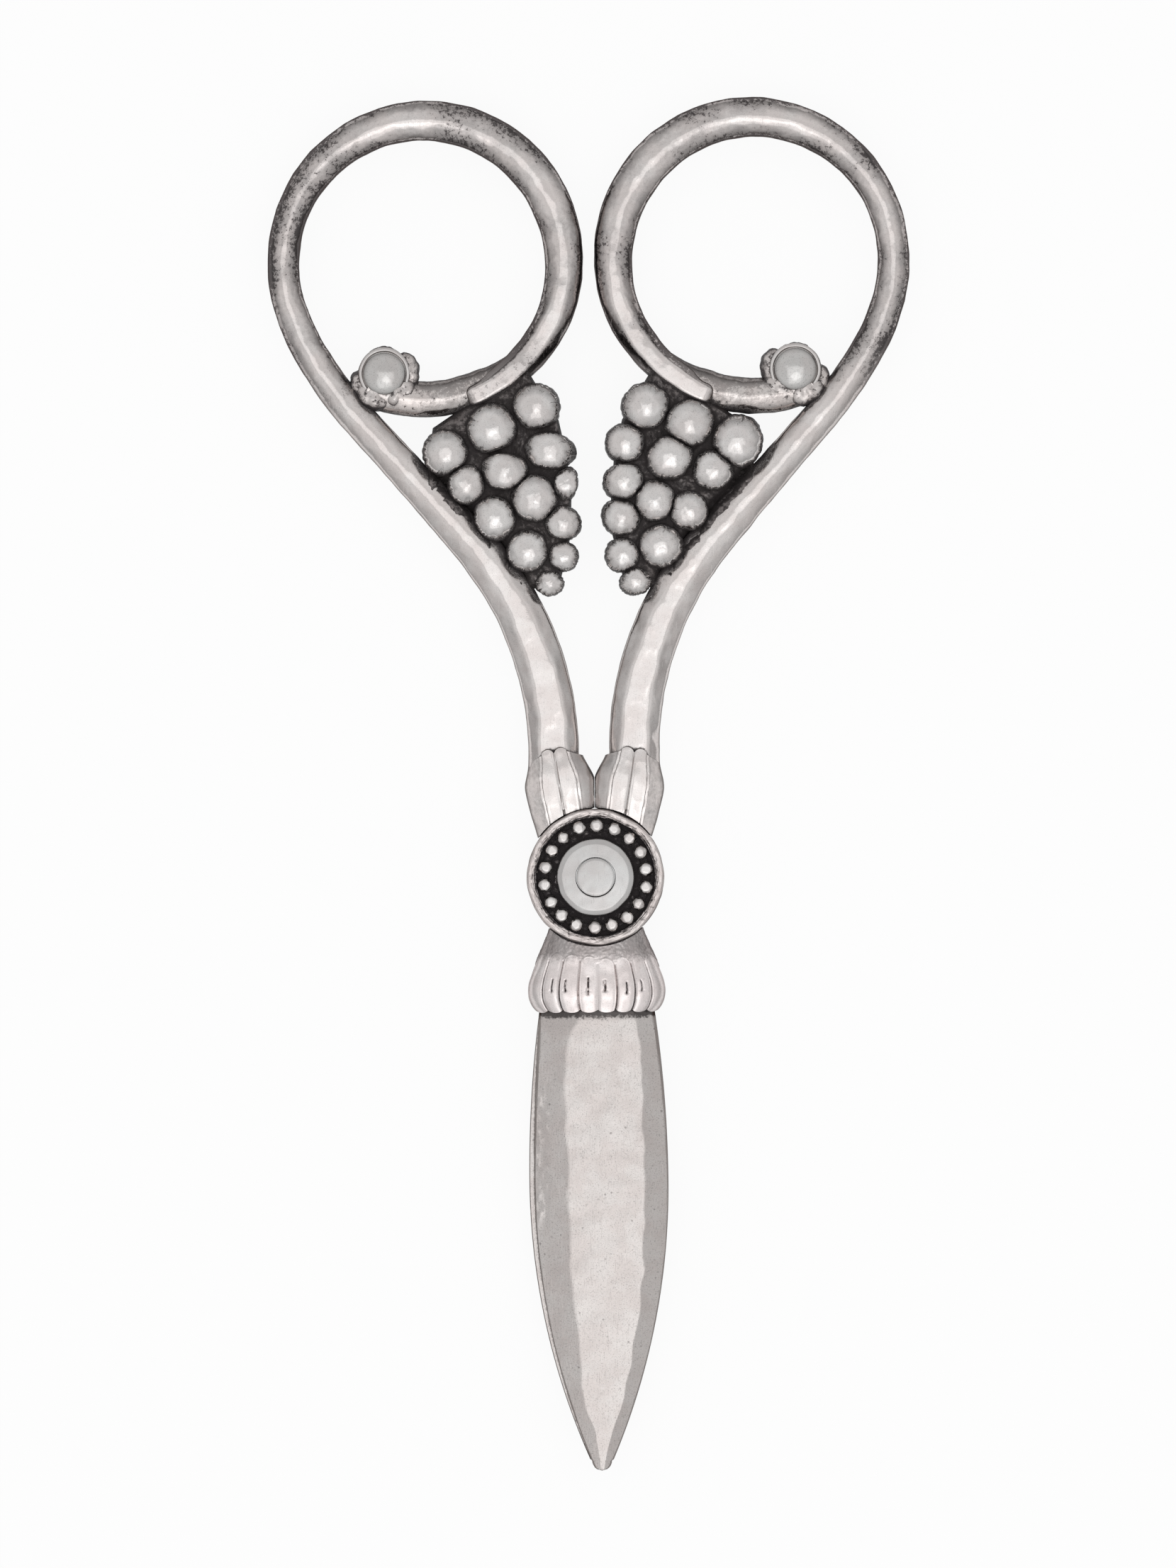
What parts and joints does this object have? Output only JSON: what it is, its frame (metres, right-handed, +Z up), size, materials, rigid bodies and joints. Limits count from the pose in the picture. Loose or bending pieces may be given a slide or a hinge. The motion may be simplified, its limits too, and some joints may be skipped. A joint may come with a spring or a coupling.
{
  "type": "grape shears",
  "caption": "Silver grape shears: ring handles with grape clusters and tendrils, a beaded pivot boss and short leaf-shaped bypass blades that cut grape stems.",
  "frame": {"origin": "on the rivet's axis, in the plane that the shears rest on (the flush outer face of the back washer and rivet)", "axes": "+Z up out of the front face along the rivet, +Y along the shears towards the finger rings, +X towards the finger ring of the lever whose blade lies in front"},
  "size_m": [0.0774, 0.1647, 0.0079],
  "materials": {
    "rod_silver": "polished silver with soft wear",
    "fruit_silver": "polished silver, dark in the recesses",
    "chased_silver": "chased silver, dark in the grooves",
    "blade_silver": "hand-hammered silver with a ground cutting bevel"
  },
  "bodies": {
    "right_lever": {"right_arm": "rod_silver", "right_tendril": "rod_silver", "right_berry": "fruit_silver", "right_calyx": "chased_silver", "right_grape_cluster": "fruit_silver", "right_ferrule": "chased_silver", "right_blade": "blade_silver", "right_collar": "chased_silver", "front_boss": "chased_silver", "front_bead_ring": "chased_silver", "front_washer": "chased_silver", "rivet": "chased_silver", "back_washer": "chased_silver"},
    "left_lever": {"left_arm": "rod_silver", "left_tendril": "rod_silver", "left_berry": "fruit_silver", "left_calyx": "chased_silver", "left_grape_cluster": "fruit_silver", "left_ferrule": "chased_silver", "left_blade": "blade_silver", "left_collar": "chased_silver", "back_boss": "chased_silver", "back_bead_ring": "chased_silver"}
  },
  "joints": [
    {"name": "pivot", "type": "hinge", "parent": "right_lever", "child": "left_lever", "pos_m": [0, 0, 0.00396], "axis": [0, 0, 1], "range_deg": [0, 82]}
  ]
}
